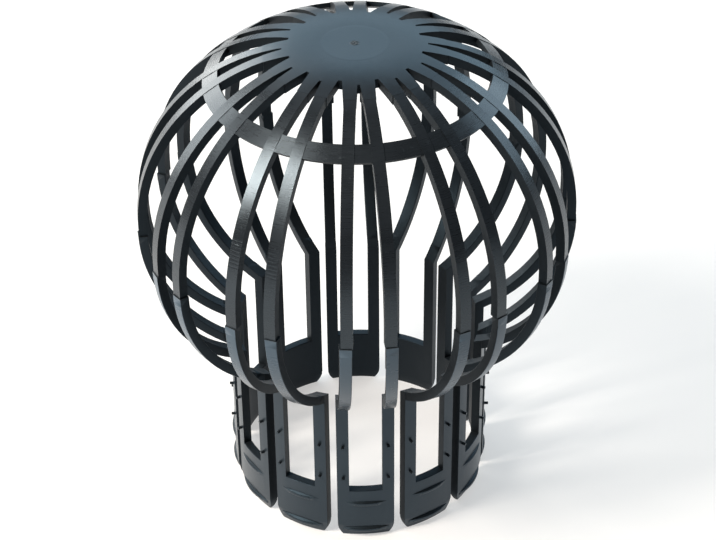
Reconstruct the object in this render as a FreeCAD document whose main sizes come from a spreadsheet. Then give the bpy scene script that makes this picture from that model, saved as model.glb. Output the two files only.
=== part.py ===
import FreeCAD, Part
import math
import os
import re
import Sketcher
from types import SimpleNamespace

# Downpipe leaf filter: one plastic moulding, standing on its legs, with its axis on +Z
# and the centre of its base at the origin. Lengths are in millimetres and angles in degrees.

doc = FreeCAD.newDocument("leaf_filter")
sheet = doc.addObject("Spreadsheet::Sheet", "Sizes")

pairCount = 12

sizes = {
    # Neck that enters the pipe
    "neckRadius": 38.7,
    "neckThickness": 2.6,
    "outerTaperHeight": 4.5,
    "outerTaper": 0.9,
    "innerTaperHeight": 3.5,
    "innerTaper": 0.7,
    # Slots of the neck
    "legGap": 2.27,
    "barMargin": 0.05,
    "sillHeight": 18.2,
    "footCornerHeight": 4.5,
    "footCornerRadius": 7.5,
    # Ribs below the parting line
    "bulbRadius": 62.95,
    "partingHeight": 91.2,
    "lowerRadius": 44.9,
    "lowerThickness": 2.8,
    "lowerWidth": 3.35,
    "lowerTurn": 1.0,
    "lowerFacing": 7.0,
    "rootDepth": 2.9,
    "rootStep": 0.23,
    "rootSlope": 25.0,
    # Ribs above the parting line
    "equatorBand": 3.4,
    "shoulderRadius": 53.3,
    "upperThickness": 2.6,
    "upperWidth": 3.3,
    "upperOffset": 0.38,
    "upperTurn": 5.05,
    # Cap, flat in the middle, and the notches between its teeth
    "capRadius": 25.5,
    "capOverlap": 2.0,
    "capThickness": 2.75,
    "capRise": 0.05,
    "gapTip": 18.7,
    "gapTipHalf": 0.5,
    "slitTip": 20.1,
    "slitTipHalf": 0.35,
    "notchMargin": 0.05,
    # Ring band
    "ringInner": 38.0,
    "ringWidth": 4.3,
    "ringThickness": 1.4,
    "ringRecess": 0.05,
    # Grip ridges on each leg
    "ridgeRise": 0.7,
    "ridgePlanRadius": 16.5,
    "ridgeCrest": 0.9,
    "ridgeFoot": 2.5,
    "ridgeRoot": 1.2,
    "ridgeSweep": 50.0,
    "upperRidgeHeight": 13.2,
    "lowerRidgeHeight": 2.9,
    # Pips on the leg bars
    "pipRadius": 0.45,
    "pipRise": 0.55,
    "upperPipHeight": 35.2,
    "lowerPipHeight": 23.2,
    # Overcut past open ends
    "overcut": 1.0,
}

halfPitch = 180.0 / pairCount

# Lengths that follow from the sizes
derived = {
    "shoulderHeight": "partingHeight + equatorBand",
    "shoulderCentre": "bulbRadius - shoulderRadius",
    "capOutside": "shoulderRadius + capRise",
    "capInside": "capOutside - capThickness",
    "upperRoot": "capRadius - capOverlap",
    "toothStation": "capRadius + overcut",
    "toothMiddle": "upperOffset + toothStation * tan(upperTurn)",
    "toothOuterHalf": "toothMiddle + upperWidth / 2 + notchMargin",
    "toothInnerHalf": "toothMiddle - upperWidth / 2 - notchMargin",
    "lowerCentre": "bulbRadius - lowerRadius",
    "lowerRoot": "neckRadius - rootDepth",
    "lowerInside": "lowerRadius - lowerThickness",
    "neckTop": "partingHeight - rootStep - sqrt(lowerInside ^ 2 - (lowerRoot - lowerCentre) ^ 2)",
    "neckCrest": "neckTop + neckThickness * tan(rootSlope)",
    "legInside": "neckRadius - neckThickness - 2 * overcut",
    "legOutside": "neckRadius + overcut / 2",
    "legHalfWidth": f"lowerRoot * tan({halfPitch}) - legGap / (2 * cos({halfPitch}))",
    "lowerOffset": "legHalfWidth - barMargin - lowerWidth / 2 + lowerRoot * tan(lowerTurn)",
    "windowHalfWidth": "lowerOffset - legOutside * tan(lowerTurn) - lowerWidth / 2 - barMargin",
    "pipOffset": "(legHalfWidth + windowHalfWidth) / 2",
    "ringOuter": "ringInner + ringWidth",
    "ridgePlace": "neckRadius + ridgeRise",
}

for row, (alias, number) in enumerate(sizes.items(), 1):
    sheet.set(f"A{row}", alias)
    sheet.set(f"B{row}", str(number))
    sheet.setAlias(f"B{row}", alias)
doc.recompute()

body = doc.addObject("PartDesign::Body", "LeafFilter")
body.Label = "leaf_filter"
origin = {feature.Role: feature for feature in body.Origin.OriginFeatures}


def formula(words):
    def full(match):
        word = match.group(0)
        if word in derived:
            return "(" + formula(derived[word]) + ")"
        return "Sizes." + word if word in sizes else word
    return re.sub(r"[A-Za-z]+", full, words)


def value(words):
    return float(body.evalExpression(formula(words)))


def newSketch(name, plane):
    sketch = body.newObject("Sketcher::SketchObject", name)
    sketch.AttachmentSupport = (origin[plane], [""])
    sketch.MapMode = "FlatFace"
    return sketch


def dimension(sketch, name, kind, places, words):
    index = sketch.addConstraint(Sketcher.Constraint(kind, *places, value(words)))
    sketch.renameConstraint(index, name)
    sketch.setExpression("Constraints." + name, formula(words))


def relate(sketch, kind, *places):
    sketch.addConstraint(Sketcher.Constraint(kind, *places))


def addLine(sketch, x0, y0, x1, y1):
    line = Part.LineSegment(FreeCAD.Vector(x0, y0, 0), FreeCAD.Vector(x1, y1, 0))
    return sketch.addGeometry(line, False)


def addArc(sketch, cx, cy, radius, startAngle, endAngle):
    circle = Part.Circle(FreeCAD.Vector(cx, cy, 0), FreeCAD.Vector(0, 0, 1), radius)
    return sketch.addGeometry(Part.ArcOfCircle(circle, startAngle, endAngle), False)


def addLoop(sketch, points):
    lines = [addLine(sketch, *points[i - 1], *points[i]) for i in range(len(points))]
    for i in range(len(points)):
        relate(sketch, "Coincident", lines[i], 1, lines[i - 1], 2)
    return lines


def addFeature(kind, name, sketch):
    feature = body.newObject("PartDesign::" + kind, name)
    feature.Profile = sketch
    sketch.Visibility = False
    return feature


def addRevolution(name, sketch):
    feature = addFeature("Revolution", name, sketch)
    feature.ReferenceAxis = (sketch, ["V_Axis"])
    feature.Angle = 360.0
    doc.recompute()
    return feature


def addPattern(name, originals):
    pattern = body.newObject("PartDesign::PolarPattern", name)
    pattern.Originals = originals
    pattern.Axis = (origin["Z_Axis"], [""])
    pattern.Angle = 360.0
    pattern.Occurrences = pairCount
    body.Tip = pattern
    doc.recompute()


size = SimpleNamespace(**{name: value(name) for name in [*sizes, *derived]})

# Neck wall, tapered at its foot
neckSketch = newSketch("NeckProfile", "XZ_Plane")
neck = size.neckRadius
bore = neck - size.neckThickness
topLine, innerLine, innerTaper, footLine, outerTaper, outerLine = addLoop(neckSketch, [
    (bore, size.neckTop),
    (bore, size.innerTaperHeight),
    (bore + size.innerTaper, 0),
    (neck - size.outerTaper, 0),
    (neck, size.outerTaperHeight),
    (neck, size.neckCrest),
])
relate(neckSketch, "Horizontal", footLine)
for upright in (innerLine, outerLine):
    relate(neckSketch, "Vertical", upright)
relate(neckSketch, "PointOnObject", footLine, 1, -1)
dimension(neckSketch, "radius", "DistanceX", (-1, 1, outerLine, 1), "neckRadius")
dimension(neckSketch, "thickness", "DistanceX", (topLine, 2, topLine, 1), "neckThickness")
dimension(neckSketch, "top", "DistanceY", (-1, 1, topLine, 2), "neckTop")
dimension(neckSketch, "crest", "DistanceY", (-1, 1, topLine, 1), "neckCrest")
dimension(neckSketch, "outerTaperHeight", "DistanceY", (-1, 1, outerLine, 1), "outerTaperHeight")
dimension(neckSketch, "outerTaper", "DistanceX", (footLine, 2, outerLine, 1), "outerTaper")
dimension(neckSketch, "innerTaperHeight", "DistanceY", (-1, 1, innerLine, 2), "innerTaperHeight")
dimension(neckSketch, "innerTaper", "DistanceX", (innerLine, 2, footLine, 1), "innerTaper")
addRevolution("Neck", neckSketch)


# A rib is drawn in its own upright plane, beside the middle of its pair and turned a little from it
def ribSketch(name, hand, lean, offsetName, turnName):
    sketch = newSketch(name + "Profile", "YZ_Plane")
    turn = FreeCAD.Rotation(FreeCAD.Vector(0, -hand * lean, 0), value(turnName))
    sketch.AttachmentOffset = FreeCAD.Placement(FreeCAD.Vector(0, 0, hand * value(offsetName)), turn)
    sketch.setExpression("AttachmentOffset.Base.z", formula(f"{hand} * {offsetName}"))
    sketch.setExpression("AttachmentOffset.Rotation.Angle", formula(turnName))
    return sketch


def ribPad(name, sketch, widthName):
    rib = addFeature("Pad", name, sketch)
    rib.Type = "Length"
    rib.Midplane = True
    rib.Length = value(widthName)
    rib.setExpression("Length", formula(widthName))
    doc.recompute()
    return rib


def lowerRib(name, hand):
    sketch = ribSketch(name, hand, -1, "lowerOffset", "lowerTurn")
    reach, level, root = size.bulbRadius, size.partingHeight, size.lowerRoot
    outside = size.lowerRadius
    inside = outside - size.lowerThickness
    centre = reach - outside
    outsideAngle = -math.acos((root - centre) / outside)
    insideAngle = -math.acos((root - centre) / inside)
    outsideArc = addArc(sketch, centre, level, outside, outsideAngle, 0)
    insideArc = addArc(sketch, centre, level, inside, insideAngle, 0)
    partingLine = addLine(sketch, reach, level, centre + inside, level)
    outsideEnd = level + outside * math.sin(outsideAngle)
    insideEnd = level + inside * math.sin(insideAngle)
    rootLine = addLine(sketch, root, outsideEnd, root, insideEnd)
    relate(sketch, "Coincident", outsideArc, 2, partingLine, 1)
    relate(sketch, "Coincident", insideArc, 2, partingLine, 2)
    relate(sketch, "Horizontal", partingLine)
    relate(sketch, "Coincident", outsideArc, 3, insideArc, 3)
    relate(sketch, "Horizontal", outsideArc, 3, outsideArc, 2)
    relate(sketch, "Coincident", outsideArc, 1, rootLine, 1)
    relate(sketch, "Coincident", insideArc, 1, rootLine, 2)
    relate(sketch, "Vertical", rootLine)
    dimension(sketch, "reach", "DistanceX", (-1, 1, partingLine, 1), "bulbRadius")
    dimension(sketch, "level", "DistanceY", (-1, 1, partingLine, 1), "partingHeight")
    dimension(sketch, "outside", "Radius", (outsideArc,), "lowerRadius")
    dimension(sketch, "inside", "Radius", (insideArc,), "lowerInside")
    dimension(sketch, "root", "DistanceX", (-1, 1, rootLine, 1), "lowerRoot")
    rib = ribPad(name, sketch, "lowerWidth")
    rib.UseCustomVector = True
    rib.AlongSketchNormal = True
    rib.Direction = FreeCAD.Vector(value("cos(lowerFacing)"), -hand * value("sin(lowerFacing)"), 0)
    rib.setExpression("Direction.x", formula("cos(lowerFacing)"))
    rib.setExpression("Direction.y", formula(f"{-hand} * sin(lowerFacing)"))
    doc.recompute()
    return rib


def upperRib(name, hand):
    sketch = ribSketch(name, hand, 1, "upperOffset", "upperTurn")
    reach, level, root = size.bulbRadius, size.shoulderHeight, size.upperRoot
    outside = size.shoulderRadius
    inside = outside - size.upperThickness
    centre = reach - outside
    outsideAngle = math.acos((root - centre) / outside)
    insideAngle = math.acos((root - centre) / inside)
    outsideArc = addArc(sketch, centre, level, outside, 0, outsideAngle)
    insideArc = addArc(sketch, centre, level, inside, 0, insideAngle)
    outsideLine = addLine(sketch, reach, level, reach, size.partingHeight)
    partingLine = addLine(sketch, reach, size.partingHeight, centre + inside, size.partingHeight)
    insideLine = addLine(sketch, centre + inside, size.partingHeight, centre + inside, level)
    outsideEnd = level + outside * math.sin(outsideAngle)
    insideEnd = level + inside * math.sin(insideAngle)
    rootLine = addLine(sketch, root, outsideEnd, root, insideEnd)
    relate(sketch, "Tangent", outsideArc, 1, outsideLine, 1)
    relate(sketch, "Vertical", outsideLine)
    relate(sketch, "Coincident", outsideLine, 2, partingLine, 1)
    relate(sketch, "Horizontal", partingLine)
    relate(sketch, "Coincident", partingLine, 2, insideLine, 1)
    relate(sketch, "Vertical", insideLine)
    relate(sketch, "Coincident", insideLine, 2, insideArc, 1)
    relate(sketch, "Horizontal", insideArc, 1, outsideArc, 1)
    relate(sketch, "Coincident", outsideArc, 3, insideArc, 3)
    relate(sketch, "Coincident", outsideArc, 2, rootLine, 1)
    relate(sketch, "Coincident", insideArc, 2, rootLine, 2)
    relate(sketch, "Vertical", rootLine)
    dimension(sketch, "reach", "DistanceX", (-1, 1, outsideLine, 1), "bulbRadius")
    dimension(sketch, "level", "DistanceY", (-1, 1, outsideLine, 1), "shoulderHeight")
    dimension(sketch, "parting", "DistanceY", (-1, 1, outsideLine, 2), "partingHeight")
    dimension(sketch, "outside", "Radius", (outsideArc,), "shoulderRadius")
    dimension(sketch, "inside", "Radius", (insideArc,), "shoulderRadius - upperThickness")
    dimension(sketch, "root", "DistanceX", (-1, 1, rootLine, 1), "upperRoot")
    return ribPad(name, sketch, "upperWidth")


ribs = [
    lowerRib("RightLowerRib", 1),
    lowerRib("LeftLowerRib", -1),
    upperRib("RightUpperRib", 1),
    upperRib("LeftUpperRib", -1),
]
addPattern("Ribs", ribs)

# Cap that carries on the curve of the ribs to a flat middle
capSketch = newSketch("CapProfile", "XZ_Plane")
rim, flat, level = size.capRadius, size.shoulderCentre, size.shoulderHeight
over, under = size.capOutside, size.capInside
overAngle, underAngle = math.acos((rim - flat) / over), math.acos((rim - flat) / under)
overArc = addArc(capSketch, flat, level, over, overAngle, math.pi / 2)
underArc = addArc(capSketch, flat, level, under, underAngle, math.pi / 2)
rimTop = level + over * math.sin(overAngle)
rimBottom = level + under * math.sin(underAngle)
rimLine = addLine(capSketch, rim, rimTop, rim, rimBottom)
overLine = addLine(capSketch, 0, level + over, flat, level + over)
underLine = addLine(capSketch, 0, level + under, flat, level + under)
axisLine = addLine(capSketch, 0, level + under, 0, level + over)
relate(capSketch, "Coincident", underArc, 3, overArc, 3)
relate(capSketch, "Coincident", overArc, 1, rimLine, 1)
relate(capSketch, "Coincident", underArc, 1, rimLine, 2)
relate(capSketch, "Vertical", rimLine)
relate(capSketch, "Tangent", overArc, 2, overLine, 2)
relate(capSketch, "Tangent", underArc, 2, underLine, 2)
relate(capSketch, "Horizontal", overLine)
relate(capSketch, "Horizontal", underLine)
relate(capSketch, "Coincident", overLine, 1, axisLine, 2)
relate(capSketch, "Coincident", underLine, 1, axisLine, 1)
relate(capSketch, "PointOnObject", axisLine, 1, -2)
relate(capSketch, "PointOnObject", axisLine, 2, -2)
dimension(capSketch, "flat", "DistanceX", (-1, 1, overArc, 3), "shoulderCentre")
dimension(capSketch, "level", "DistanceY", (-1, 1, overArc, 3), "shoulderHeight")
dimension(capSketch, "over", "Radius", (overArc,), "capOutside")
dimension(capSketch, "under", "Radius", (underArc,), "capInside")
dimension(capSketch, "rim", "DistanceX", (-1, 1, rimLine, 1), "capRadius")
addRevolution("Cap", capSketch)


# A slot in plan on the +Y side of the sketch, symmetric about it. Its corners run outward along
# the right edge, each as (half width, distance from the axis)
def slotSketch(name, turn, levelName, corners):
    sketch = newSketch(name, "XY_Plane")
    level = FreeCAD.Vector(0, 0, value(levelName))
    sketch.AttachmentOffset = FreeCAD.Placement(level, FreeCAD.Rotation(FreeCAD.Vector(0, 0, 1), turn))
    sketch.setExpression("AttachmentOffset.Base.z", formula(levelName))
    right = [(value(half), value(along)) for half, along in corners]
    lines = addLoop(sketch, right + [(-half, along) for half, along in reversed(right)])
    for i, (half, along) in enumerate(corners):
        dimension(sketch, f"half{i}", "DistanceX", (-1, 1, lines[i], 2), half)
        dimension(sketch, f"along{i}", "DistanceY", (-1, 1, lines[i], 2), along)
        relate(sketch, "Symmetric", lines[i], 2, lines[-1 - i], 2, -2)
    return sketch


# A point on the edge of a rib pair, as seen from the middle of the gap beside that pair
def besideGap(half, along):
    across = f"{along} * sin({halfPitch}) - {half} * cos({halfPitch})"
    outward = f"{along} * cos({halfPitch}) + {half} * sin({halfPitch})"
    return across, outward


capGap = addFeature("Pocket", "CapGap", slotSketch("CapGapOutline", halfPitch, "partingHeight", [
    ("gapTipHalf", "gapTip"),
    besideGap("toothOuterHalf", "toothStation"),
]))
capGap.Type = "ThroughAll"
capGap.Reversed = True

capSlit = addFeature("Pocket", "CapSlit", slotSketch("CapSlitOutline", 0.0, "partingHeight", [
    ("slitTipHalf", "slitTip"),
    ("toothInnerHalf", "toothStation"),
]))
capSlit.Type = "ThroughAll"
capSlit.Reversed = True

legGap = addFeature("Pocket", "LegGap", slotSketch("LegGapOutline", halfPitch, "neckCrest", [
    besideGap("legHalfWidth", "legInside"),
    besideGap("legHalfWidth", "legOutside"),
]))
legGap.Type = "ThroughAll"

legWindow = addFeature("Pocket", "LegWindow", slotSketch("LegWindowOutline", 0.0, "neckCrest", [
    ("windowHalfWidth", "legInside"),
    ("windowHalfWidth", "legOutside"),
]))
legWindow.Type = "Length"
legWindow.Length = value("neckCrest - sillHeight")
legWindow.setExpression("Length", formula("neckCrest - sillHeight"))
doc.recompute()

# Eased lower corners of each leg
cornerSketch = newSketch("FootCorners", "XZ_Plane")
side, height, easing = size.legHalfWidth, size.footCornerHeight, size.footCornerRadius
sweep = math.asin(height / easing)
toe = side - easing * (1 - math.cos(sweep))
for hand, label in ((1, "Right"), (-1, "Left")):
    startAngle, endAngle = (-sweep, 0) if hand == 1 else (math.pi, math.pi + sweep)
    low, high = (1, 2) if hand == 1 else (2, 1)
    edge = addArc(cornerSketch, hand * (side - easing), height, easing, startAngle, endAngle)
    outside = hand * (side + size.overcut)
    dropLine = addLine(cornerSketch, hand * toe, 0, hand * toe, -size.overcut)
    underLine = addLine(cornerSketch, hand * toe, -size.overcut, outside, -size.overcut)
    riseLine = addLine(cornerSketch, outside, -size.overcut, outside, height)
    closeLine = addLine(cornerSketch, outside, height, hand * side, height)
    relate(cornerSketch, "Coincident", edge, low, dropLine, 1)
    relate(cornerSketch, "PointOnObject", edge, low, -1)
    relate(cornerSketch, "Vertical", dropLine)
    relate(cornerSketch, "Coincident", dropLine, 2, underLine, 1)
    relate(cornerSketch, "Horizontal", underLine)
    relate(cornerSketch, "Coincident", underLine, 2, riseLine, 1)
    relate(cornerSketch, "Vertical", riseLine)
    relate(cornerSketch, "Coincident", riseLine, 2, closeLine, 1)
    relate(cornerSketch, "Horizontal", closeLine)
    relate(cornerSketch, "Coincident", closeLine, 2, edge, high)
    relate(cornerSketch, "Horizontal", edge, 3, edge, high)
    inner, outer = ((-1, 1), (edge, high)) if hand == 1 else ((edge, high), (-1, 1))
    dimension(cornerSketch, "side" + label, "DistanceX", inner + outer, "legHalfWidth")
    near, far = ((edge, high), (riseLine, 1)) if hand == 1 else ((riseLine, 1), (edge, high))
    dimension(cornerSketch, "outside" + label, "DistanceX", near + far, "overcut")
    dimension(cornerSketch, "under" + label, "DistanceY", (dropLine, 2, dropLine, 1), "overcut")
    dimension(cornerSketch, "height" + label, "DistanceY", (-1, 1, edge, high), "footCornerHeight")
    dimension(cornerSketch, "easing" + label, "Radius", (edge,), "footCornerRadius")
corners = addFeature("Pocket", "FootCorner", cornerSketch)
corners.Type = "ThroughAll"
doc.recompute()
addPattern("Openings", [capGap, capSlit, legGap, legWindow, corners])

# Ring band across the ribs, its edges square to the bulb
ringSketch = newSketch("RingProfile", "XZ_Plane")
ringCentre, level = size.shoulderCentre, size.shoulderHeight
outside = size.shoulderRadius - size.ringRecess
inside = outside - size.ringThickness
outerAngle = math.acos((size.ringOuter - ringCentre) / outside)
innerAngle = math.acos((size.ringInner - ringCentre) / outside)
outsideArc = addArc(ringSketch, ringCentre, level, outside, outerAngle, innerAngle)
insideArc = addArc(ringSketch, ringCentre, level, inside, outerAngle, innerAngle)
lowLine, outsideLine, highLine, insideLine = addLoop(ringSketch, [
    (ringCentre + reach * math.cos(angle), level + reach * math.sin(angle))
    for reach, angle in (
        (outside, outerAngle),
        (outside, innerAngle),
        (inside, innerAngle),
        (inside, outerAngle),
    )
])
for guide in (outsideArc, insideArc):
    ringSketch.toggleConstruction(guide)
relate(ringSketch, "Coincident", outsideArc, 3, insideArc, 3)
relate(ringSketch, "Coincident", outsideArc, 1, outsideLine, 1)
relate(ringSketch, "Coincident", outsideArc, 2, outsideLine, 2)
relate(ringSketch, "Coincident", insideArc, 2, insideLine, 1)
relate(ringSketch, "Coincident", insideArc, 1, insideLine, 2)
relate(ringSketch, "PointOnObject", outsideArc, 3, lowLine)
relate(ringSketch, "PointOnObject", outsideArc, 3, highLine)
dimension(ringSketch, "centre", "DistanceX", (-1, 1, outsideArc, 3), "shoulderCentre")
dimension(ringSketch, "level", "DistanceY", (-1, 1, outsideArc, 3), "shoulderHeight")
dimension(ringSketch, "outside", "Radius", (outsideArc,), "shoulderRadius - ringRecess")
dimension(ringSketch, "inside", "Radius", (insideArc,), "shoulderRadius - ringRecess - ringThickness")
dimension(ringSketch, "outer", "DistanceX", (-1, 1, outsideArc, 1), "ringOuter")
dimension(ringSketch, "inner", "DistanceX", (-1, 1, outsideArc, 2), "ringInner")
body.Tip = addRevolution("Ring", ringSketch)


# A lens-shaped grip ridge, turned through a short sweep about an upright line inside the neck
def gripRidge(name, heightName):
    sketch = newSketch(name + "Profile", "YZ_Plane")
    level, crest = value(heightName), size.ridgePlace
    root, pivotPlace = crest - size.ridgeRoot, crest - size.ridgePlanRadius
    crestHalf, footHalf = size.ridgeCrest / 2, size.ridgeFoot / 2
    lowerFlank, crestLine, upperFlank, rootLine = addLoop(sketch, [
        (crest, level - crestHalf),
        (crest, level + crestHalf),
        (root, level + footHalf),
        (root, level - footHalf),
    ])
    pivot = addLine(sketch, pivotPlace, 0, pivotPlace, level)
    middle = addLine(sketch, pivotPlace, level, crest, level)
    for guide in (pivot, middle):
        sketch.toggleConstruction(guide)
    relate(sketch, "Vertical", pivot)
    relate(sketch, "PointOnObject", pivot, 1, -1)
    relate(sketch, "Coincident", pivot, 2, middle, 1)
    relate(sketch, "Horizontal", middle)
    relate(sketch, "PointOnObject", middle, 2, crestLine)
    relate(sketch, "Symmetric", crestLine, 1, crestLine, 2, middle)
    relate(sketch, "Symmetric", rootLine, 1, rootLine, 2, middle)
    dimension(sketch, "level", "DistanceY", (-1, 1, pivot, 2), heightName)
    dimension(sketch, "pivot", "DistanceX", (-1, 1, pivot, 1), "ridgePlace - ridgePlanRadius")
    dimension(sketch, "crestPlace", "DistanceX", (-1, 1, crestLine, 1), "ridgePlace")
    dimension(sketch, "rootPlace", "DistanceX", (-1, 1, rootLine, 1), "ridgePlace - ridgeRoot")
    dimension(sketch, "crest", "DistanceY", (crestLine, 1, crestLine, 2), "ridgeCrest")
    dimension(sketch, "foot", "DistanceY", (rootLine, 2, rootLine, 1), "ridgeFoot")
    ridge = addFeature("Revolution", name, sketch)
    ridge.ReferenceAxis = (sketch, ["Axis0"])
    ridge.Midplane = True
    ridge.Angle = size.ridgeSweep
    ridge.setExpression("Angle", formula("ridgeSweep"))
    return ridge


upperRidge = gripRidge("UpperRidge", "upperRidgeHeight")
lowerRidge = gripRidge("LowerRidge", "lowerRidgeHeight")

# Six-sided pips on the two bars of a leg
pipSketch = newSketch("PipOutline", "XZ_Plane")
for name, hand, heightName in (
    ("rightHigh", 1, "upperPipHeight"),
    ("leftHigh", -1, "upperPipHeight"),
    ("rightLow", 1, "lowerPipHeight"),
    ("leftLow", -1, "lowerPipHeight"),
):
    middle = FreeCAD.Vector(hand * size.pipOffset, value(heightName), 0)
    guide = pipSketch.addGeometry(Part.Circle(middle, FreeCAD.Vector(0, 0, 1), size.pipRadius), True)
    angles = [math.radians(60 * i) for i in range(6)]
    sides = addLoop(pipSketch, [
        (middle.x + size.pipRadius * math.cos(angle), middle.y + size.pipRadius * math.sin(angle))
        for angle in angles
    ])
    for i in range(6):
        relate(pipSketch, "PointOnObject", sides[i], 2, guide)
    for i in range(1, 6):
        relate(pipSketch, "Equal", sides[0], sides[i])
    relate(pipSketch, "Horizontal", sides[0], 2, guide, 3)
    ends = (-1, 1, guide, 3) if hand == 1 else (guide, 3, -1, 1)
    dimension(pipSketch, name + "Offset", "DistanceX", ends, "pipOffset")
    dimension(pipSketch, name + "Height", "DistanceY", (-1, 1, guide, 3), heightName)
    dimension(pipSketch, name + "Radius", "Radius", (guide,), "pipRadius")
pipPlane = FreeCAD.Vector(0, 0, -bore - size.overcut)
pipSketch.AttachmentOffset = FreeCAD.Placement(pipPlane, FreeCAD.Rotation())
pipSketch.setExpression("AttachmentOffset.Base.z", formula("neckThickness - neckRadius - overcut"))
pips = addFeature("Pad", "Pips", pipSketch)
pips.Type = "Length"
pips.Reversed = True
pips.Length = value("neckThickness - overcut + pipRise")
pips.setExpression("Length", formula("neckThickness - overcut + pipRise"))
doc.recompute()
addPattern("LegDetails", [upperRidge, lowerRidge, pips])

for item in doc.Objects:
    if "Invalid" in item.State or "Error" in item.State:
        raise RuntimeError(f"{item.Name} failed: {item.State}")
    if item.isDerivedFrom("Sketcher::SketchObject") and not item.FullyConstrained:
        raise RuntimeError(f"{item.Name} is not fully constrained")
shape = body.Shape
if shape.isNull() or not shape.isValid() or len(shape.Solids) != 1:
    raise RuntimeError("leaf_filter is not one valid solid")

os.makedirs("parts", exist_ok=True)
shape.exportStep(f"parts/{body.Label}.step")
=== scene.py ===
import math

import bmesh
import bpy
from mathutils import Matrix, Vector


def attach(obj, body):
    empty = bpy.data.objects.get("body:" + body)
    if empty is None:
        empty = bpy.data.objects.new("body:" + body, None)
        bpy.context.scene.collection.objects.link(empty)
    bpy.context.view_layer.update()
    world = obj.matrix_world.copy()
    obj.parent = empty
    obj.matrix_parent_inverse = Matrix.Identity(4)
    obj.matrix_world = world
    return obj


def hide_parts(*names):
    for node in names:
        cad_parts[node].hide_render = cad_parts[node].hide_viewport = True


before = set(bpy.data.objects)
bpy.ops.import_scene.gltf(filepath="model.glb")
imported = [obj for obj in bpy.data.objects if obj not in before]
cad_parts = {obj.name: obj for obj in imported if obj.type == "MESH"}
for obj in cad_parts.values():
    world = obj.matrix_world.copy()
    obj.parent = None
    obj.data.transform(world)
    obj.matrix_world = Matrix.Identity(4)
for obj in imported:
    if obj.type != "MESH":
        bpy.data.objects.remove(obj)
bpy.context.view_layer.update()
scene = bpy.context.scene
millimetres = 1000.0                                   # in a metre; the materials count in mm
print("frame loaded", sorted(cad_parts))


class Wire:                                            # a shader socket that works in Python sums
    def __init__(self, tree, socket=None):
        self.tree, self.socket = tree, socket

    def make(self, kind, settings=None, inputs=None, output=0):
        node = self.tree.nodes.new(kind)
        for name, value in (settings or {}).items():
            setattr(node, name, value)
        for name, value in (inputs or {}).items():
            if isinstance(value, Wire):
                self.tree.links.new(value.socket, node.inputs[name])
            else:
                node.inputs[name].default_value = value
        return Wire(self.tree, node.outputs[output])

    def maths(self, operation, *values):
        return self.make("ShaderNodeMath", {"operation": operation}, dict(enumerate(values)))

    def __add__(self, other):
        return self.maths("ADD", self, other)

    def __sub__(self, other):
        return self.maths("SUBTRACT", self, other)

    def __rsub__(self, other):
        return self.maths("SUBTRACT", other, self)

    def __mul__(self, other):
        return self.maths("MULTIPLY", self, other)

    def __pow__(self, other):
        return self.maths("POWER", self, other)

    __radd__, __rmul__ = __add__, __mul__

    def within(self, low, high, least=0.0):            # rises smoothly to 1 between low and high
        limits = {"Value": self, "From Min": low, "From Max": high, "To Min": least, "To Max": 1.0}
        return self.make("ShaderNodeMapRange", {"interpolation_type": "SMOOTHSTEP"}, limits)


def newMaterial(name):
    material = bpy.data.materials.new(name)
    material.use_nodes = True
    shader = material.node_tree.nodes["Principled BSDF"]
    return material, Wire(material.node_tree), shader


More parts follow.
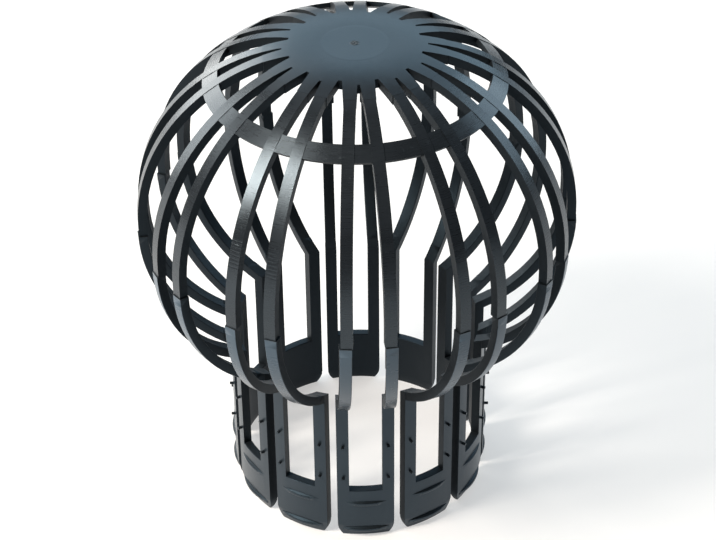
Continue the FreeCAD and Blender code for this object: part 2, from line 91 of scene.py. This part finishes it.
moulding = {
    "finishes": {
        "skin": {                                      # outside of the cap, ring and ribs
            "colour": (0.010, 0.012, 0.0145, 1.0),
            "paleColour": (0.019, 0.023, 0.028, 1.0),
            "paintedReflectionColour": (0.057, 0.091, 0.128, 1.0),  # painted reflection of the lit floor: paler and bluer below the parting
            "gloss": 0.60,
            "roughness": 0.28,
            "sheenTint": (0.70, 0.865, 1.0, 1.0),      # the gloss has the blue cast of the plastic
            "toolMark": 0.017,                         # height of the cutter's marks on the ribs, mm
            "grain": 0.013,                            # height of the fine grain, mm
        },
        "cut": {                                       # sides and inside, plainer and duller; their darker colour is painted shade
            "colour": (0.006, 0.007, 0.008, 1.0),
            "paleColour": (0.011, 0.013, 0.015, 1.0),
            # painted reflection of the lit floor on the lower sides and insides
            "paintedReflectionColour": (0.009, 0.011, 0.013, 1.0),
            "gloss": 0.26,
            "roughness": 0.46,
            "sheenTint": (0.48, 0.75, 1.0, 1.0),
            "toolMark": 0.006,
            "grain": 0.014,
        },
        "leg": {                                       # outside of the legs, bluer than the ribs
            "colour": (0.010, 0.014, 0.018, 1.0),
            "paleColour": (0.017, 0.023, 0.029, 1.0),
            "gloss": 0.54,
            "roughness": 0.30,
            "sheenTint": (0.55, 0.78, 1.0, 1.0),
            "toolMark": 0.017,
            "grain": 0.013,
        },
    },
    "merge": 2e-6,                                     # the sizes of the mesh are in m
    "legTop": 0.0545,
    "legReach": 0.041,
    "neckHeight": 0.053,
    "bulbMiddle": 0.086,
    "facingOut": 0.7,                                  # cosine to the outward direction
    "edgeRound": 0.00022,
    "edgeSegments": 2,
    "edgeAngle": 28.0,                                 # degrees from which a corner is eased
    "leastEdge": 0.0006,                               # room that an eased corner needs
    "ringBottom": 0.120,                               # above this the ribs cross the ring
    "crossing": 6.0,                                   # degrees that show as a line up there
    "crease": 40.0,
    "roundCrease": 60.0,
    "partingHeight": 91.2,                             # heights and reaches in mm from here on
    "partingSlack": 0.05,
    "partingSpan": (-0.4, 0.8),
    "marksBelow": 0.25,                                # share of the cutter's marks below the parting
    "capTop": 147.9,
    "capSpan": (-4.5, -2.0),
    "topSpan": (-1.2, -0.6),
    "capPolish": 0.85,
    # where the painted floor reflection lies below the parting, and how strong it is
    "lowerStart": (56.0, 70.0),
    "lowerSpan": (-0.3, 0.0),
    "paintedReflectionShare": 0.85,
    "ribArc": (12.0, 93.0, 50.0),                      # reach and height of its centre, radius
    "stripeDepth": 0.04,
    # per mm along a rib, per radian round the part, detail, roughness
    "stripes": {
        "marks": (2.4, 9.0, 4.0, 0.65),
        "fine": (7.0, 16.0, 2.0, 0.5),
        "broken": (0.8, 14.0, 1.0, 0.4),
    },
    "noises": {                                        # scale, detail, roughness
        "grain": (2600.0, 3.0, 0.6),
        "cloud": (55.0, 4.0, 0.55),
        "specks": (900.0, 2.0, 0.5),
    },
    "cloudRange": (0.30, 0.72),
    "speckRange": (0.66, 0.74),
    "markShare": 0.7,                                  # of the coarse marks beside the fine ones
    "tone": {"cloud": 0.7, "marks": 0.5, "specks": 0.3, "disc": 0.25},
    "dull": {"cloud": 0.12, "marks": 0.12, "specks": 0.1, "disc": -0.03, "cap": 0.06},
    "scratch": {                                       # a few deeper lines across the left front pair
        "depth": 0.030,
        "start": (108.5, 111.0),
        "end": (116.5, 118.5),
        "turn": 0.52,                                  # radians to the left of the front
        "spread": (0.20, 0.26),
        "pitch": 6.0,
        "waver": 2.0,
        "line": (-0.2, 1.0),
        "gaps": (0.30, 0.50),
    },
    "gate": {                                          # where the sprue was broken off the cap
        "colour": (0.005, 0.006, 0.007, 1.0),
        "radius": 1.5,
        "core": 0.55,
        "ragged": 1.6,
        "level": 0.35,
        "height": 0.9,
        "circle": 9.3,                                 # the slightly raised disc around it
        "rim": 0.5,
        "rise": 0.03,
    },
}


def mouldingMaterial(name):
    finish, scratch, gate = moulding["finishes"][name], moulding["scratch"], moulding["gate"]
    tone, dull, mean = moulding["tone"], moulding["dull"], 0.5      # mean of every noise
    material, wire, shader = newMaterial(name + "Plastic")
    place = wire.make("ShaderNodeTexCoord", output="Object")
    x, y, z = (wire.make("ShaderNodeSeparateXYZ", None, {"Vector": place}, axis) * millimetres
               for axis in "XYZ")
    reach = (x * x + y * y) ** 0.5
    turn = wire.maths("ARCTAN2", x, 0.0 - y)           # from the front, to the right
    arcReach, arcHeight, arcRadius = moulding["ribArc"]
    climb = wire.maths("ARCTAN2", z - arcHeight, reach - arcReach) * arcRadius   # mm along a rib

    def noise(vector, scale, detail, rough):
        values = {"Vector": vector, "Scale": scale, "Detail": detail, "Roughness": rough}
        return wire.make("ShaderNodeTexNoise", None, values)

    def stripes(along, around, detail, rough):         # noise drawn out across the ribs
        stretch = {"X": climb * along, "Y": turn * around, "Z": reach * moulding["stripeDepth"]}
        return noise(wire.make("ShaderNodeCombineXYZ", None, stretch), 1.0, detail, rough)

    def above(height, span, least=0.0):
        return z.within(height + span[0], height + span[1], least)

    def blend(factor, first, second):                  # sockets 6, 7 and 2 are the colours
        return wire.make("ShaderNodeMix", {"data_type": "RGBA", "clamp_factor": True},
                         {0: factor, 6: first, 7: second}, 2)

    marks, fine, broken = (stripes(*values) for values in moulding["stripes"].values())
    grain, cloud, specks = (noise(place, *values) for values in moulding["noises"].values())
    specks = specks.within(*moulding["speckRange"])

    # Where each finish begins and ends
    onCap = above(moulding["capTop"], moulding["capSpan"])
    onTop = above(moulding["capTop"], moulding["topSpan"])
    brushed = above(moulding["partingHeight"], moulding["partingSpan"], moulding["marksBelow"])
    brushed = brushed * (1.0 - onCap * moulding["capPolish"])
    # painted reflection: the lower bulb, which faces the lit floor, is painted paler
    lower = 1.0 - above(moulding["partingHeight"], moulding["lowerSpan"])
    lower = lower * z.within(*moulding["lowerStart"])

    band = z.within(*scratch["start"]) * (1.0 - z.within(*scratch["end"]))
    pair = 1.0 - wire.maths("ABSOLUTE", turn + scratch["turn"]).within(*scratch["spread"])
    lines = wire.maths("SINE", climb * scratch["pitch"] + broken * scratch["waver"])
    scratches = lines.within(*scratch["line"]) * broken.within(*scratch["gaps"]) * band * pair

    ragged = reach + (grain - mean) * gate["ragged"]
    scar = onTop * (1.0 - ragged.within(gate["radius"] * gate["core"], gate["radius"]))
    rim = reach.within(gate["circle"] - gate["rim"], gate["circle"] + gate["rim"])
    disc = onTop * (1.0 - rim)

    pale = cloud.within(*moulding["cloudRange"]) * tone["cloud"]
    pale = pale + (marks - mean) * brushed * tone["marks"]
    pale = pale + specks * tone["specks"] + disc * tone["disc"]
    colour = blend(pale, finish["colour"], finish["paleColour"])
    # mix in the painted floor reflection below the parting
    if "paintedReflectionColour" in finish:
        colour = blend(lower * moulding["paintedReflectionShare"], colour, finish["paintedReflectionColour"])
    colour = blend(scar, colour, gate["colour"])

    height = (marks * moulding["markShare"] + fine) * brushed * finish["toolMark"]
    height = height + grain * finish["grain"] - scratches * scratch["depth"]
    height = height + scar * (grain - gate["level"]) * gate["height"] + disc * gate["rise"]
    bump = wire.make("ShaderNodeBump", None,
                     {"Height": height, "Strength": 1.0, "Distance": 1.0 / millimetres})

    rough = finish["roughness"] + (marks - mean) * dull["marks"] * brushed
    rough = rough + (cloud - mean) * dull["cloud"] + onCap * dull["cap"]
    rough = rough + disc * dull["disc"] + specks * dull["specks"]

    for socket, value in (("Base Color", colour), ("Roughness", rough), ("Normal", bump)):
        material.node_tree.links.new(value.socket, shader.inputs[socket])
    shader.inputs["Specular IOR Level"].default_value = finish["gloss"]
    shader.inputs["Specular Tint"].default_value = finish["sheenTint"]
    return material


# The whole filter is one moulding: the solid's own mesh, with the lower half's corners eased
def mouldingPiece():
    mesh = bpy.data.meshes.new("mouldedFilter")
    bm = bmesh.new()
    bm.from_mesh(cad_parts["leaf_filter"].data)
    bmesh.ops.remove_doubles(bm, verts=bm.verts, dist=moulding["merge"])
    bm.normal_update()

    finishes = list(moulding["finishes"])
    for face in bm.faces:                              # outside is away from the middle of bulb or neck
        outward = face.calc_center_median()
        onLeg = outward.z < moulding["legTop"] and outward.xy.length < moulding["legReach"]
        inBulb = outward.z > moulding["neckHeight"]
        outward.z = outward.z - moulding["bulbMiddle"] if inBulb else 0.0
        # faces that don't face out take the cut finish, whose darker colour is painted shade
        finish = "cut"
        if face.normal.dot(outward.normalized()) > moulding["facingOut"]:
            finish = "leg" if onLeg else "skin"
        face.material_index = finishes.index(finish)

    small = {edge for edge in bm.edges if edge.calc_length() < moulding["leastEdge"]}

    def canEase(edge):                                 # a convex corner below the parting, with room
        if not edge.is_manifold or not edge.is_convex:
            return False
        if math.degrees(edge.calc_face_angle(0.0)) < moulding["edgeAngle"]:
            return False
        if any(other in small for vert in edge.verts for other in vert.link_edges):
            return False
        heights = [vert.co.z * millimetres - moulding["partingHeight"] for vert in edge.verts]
        if min(heights) > -moulding["partingSlack"] or max(heights) > moulding["partingSlack"]:
            return False
        depths = [2.0 * face.calc_area() / edge.calc_length() for face in edge.link_faces]
        return min(depths) > moulding["leastEdge"]

    corners = [edge for edge in bm.edges if canEase(edge)]
    print("easing", len(corners), "of", len(bm.edges), "edges")
    eased = bmesh.ops.bevel(bm, geom=corners, offset=moulding["edgeRound"], offset_type="OFFSET",
                            segments=moulding["edgeSegments"], profile=0.5, affect="EDGES",
                            clamp_overlap=True, material=-1)
    eased = set(eased["faces"])
    bm.normal_update()
    for face in bm.faces:
        face.smooth = True
    for edge in bm.edges:
        crossing = edge.verts[0].co.z > moulding["ringBottom"]
        crease = moulding["crossing"] if crossing else moulding["crease"]
        if any(face in eased for face in edge.link_faces):
            crease = moulding["roundCrease"]
        edge.smooth = math.degrees(edge.calc_face_angle(0.0)) < crease
    bm.to_mesh(mesh)
    bm.free()

    piece = bpy.data.objects.new("mouldedFilter", mesh)
    scene.collection.objects.link(piece)
    even = piece.modifiers.new("evenFaces", "WEIGHTED_NORMAL")      # broad faces stay flat to the edge
    even.keep_sharp = True
    for finish in finishes:
        mesh.materials.append(mouldingMaterial(finish))
    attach(piece, "root")
    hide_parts("leaf_filter")
    print("moulding", len(mesh.polygons), "faces")


mouldingPiece()


floor = {
    "size": 6.0,
    "colour": (0.46, 0.46, 0.46, 1.0),
    "roughness": 0.9,
    "gloss": 0.1,
    "liftColour": (1.0, 0.985, 0.97, 1.0),
    "lift": 0.50,                                      # added for the camera and in reflections
}


def floorPiece():
    bm = bmesh.new()
    bmesh.ops.create_grid(bm, x_segments=1, y_segments=1, size=floor["size"] / 2)
    mesh = bpy.data.meshes.new("paleFloor")
    bm.to_mesh(mesh)
    bm.free()
    piece = bpy.data.objects.new("paleFloor", mesh)
    scene.collection.objects.link(piece)
    material, wire, shader = newMaterial("paleFloor")
    shader.inputs["Base Color"].default_value = floor["colour"]
    shader.inputs["Roughness"].default_value = floor["roughness"]
    shader.inputs["Specular IOR Level"].default_value = floor["gloss"]
    seen = wire.make("ShaderNodeLightPath", output="Is Camera Ray")
    seen = seen + wire.make("ShaderNodeLightPath", output="Is Glossy Ray")
    plain = Wire(material.node_tree, shader.outputs[0])
    glow = wire.make("ShaderNodeEmission", None,
                     {"Color": floor["liftColour"], "Strength": floor["lift"]})
    lifted = wire.make("ShaderNodeAddShader", None, {0: plain, 1: glow})
    whole = wire.make("ShaderNodeMixShader", None, {0: seen, 1: plain, 2: lifted})
    ending = material.node_tree.nodes["Material Output"]
    material.node_tree.links.new(whole.socket, ending.inputs["Surface"])
    mesh.materials.append(material)
    print("floor laid")


floorPiece()


studio = {
    "world": (0.055, 0.064, 0.072, 1.0),
    "middle": (0.0, 0.0, 0.10),                        # what the lamps are turned to
    "distance": 1.1,
    # name, direction, width, height, brightness, colour
    "lamps": [
        ("keyStrip", (-0.66, -0.27, 0.70), 0.30, 0.52, 42.0, (1.0, 0.91, 0.81)),
        ("leftBackBox", (-0.66, 0.68, 0.32), 0.95, 0.70, 6.0, (1.0, 0.98, 0.94)),
        ("backBox", (0.15, 0.85, 0.50), 1.30, 0.75, 1.60, (0.57, 0.825, 1.0)),
        ("rightBox", (0.80, 0.46, 0.38), 0.70, 0.70, 3.2, (0.74, 0.90, 1.0)),
    ],
}


def studioLight():
    world = bpy.data.worlds.new("studio")
    world.use_nodes = True
    world.node_tree.nodes["Background"].inputs["Color"].default_value = studio["world"]
    scene.world = world
    middle = Vector(studio["middle"])
    for name, direction, wide, high, bright, colour in studio["lamps"]:
        lamp = bpy.data.lights.new(name, "AREA")
        lamp.shape, lamp.size, lamp.size_y, lamp.color = "RECTANGLE", wide, high, colour
        lamp.energy = bright * math.pi * wide * high
        holder = bpy.data.objects.new(name, lamp)
        holder.location = middle + Vector(direction).normalized() * studio["distance"]
        holder.rotation_euler = (middle - holder.location).to_track_quat("-Z", "Y").to_euler()
        scene.collection.objects.link(holder)
    print("studio lit with", len(studio["lamps"]), "boxes")


studioLight()


view = {
    "distance": 0.61718,
    "azimuth": -2.60,
    "elevation": 36.546,
    "roll": -0.666,
    "aimAcross": 0.000152,                             # from the middle of the base
    "aimUp": 0.070793,
    "lens": 105.239,
    "nearest": 0.01,
}


def photoCamera():
    turn, tilt = math.radians(view["azimuth"]), math.radians(view["elevation"])
    level = Vector((-math.sin(turn), math.cos(turn), 0.0))
    ahead = level * math.cos(tilt) - Vector((0.0, 0.0, math.sin(tilt)))
    right = Vector((math.cos(turn), math.sin(turn), 0.0))
    up = right.cross(ahead)
    aim = right * view["aimAcross"] + Vector((0.0, 0.0, view["aimUp"]))
    lean = math.radians(view["roll"])
    across = right * math.cos(lean) + up * math.sin(lean)
    upright = up * math.cos(lean) - right * math.sin(lean)
    lens = bpy.data.cameras.new("photoCamera")
    lens.lens, lens.clip_start = view["lens"], view["nearest"]
    camera = bpy.data.objects.new("photoCamera", lens)
    axes = Matrix((across, upright, -ahead)).transposed()
    camera.matrix_world = Matrix.Translation(aim - ahead * view["distance"]) @ axes.to_4x4()
    scene.collection.objects.link(camera)
    scene.camera = camera
    print("camera at", [round(value, 4) for value in camera.matrix_world.translation])


photoCamera()

scene.view_settings.view_transform = "Standard"
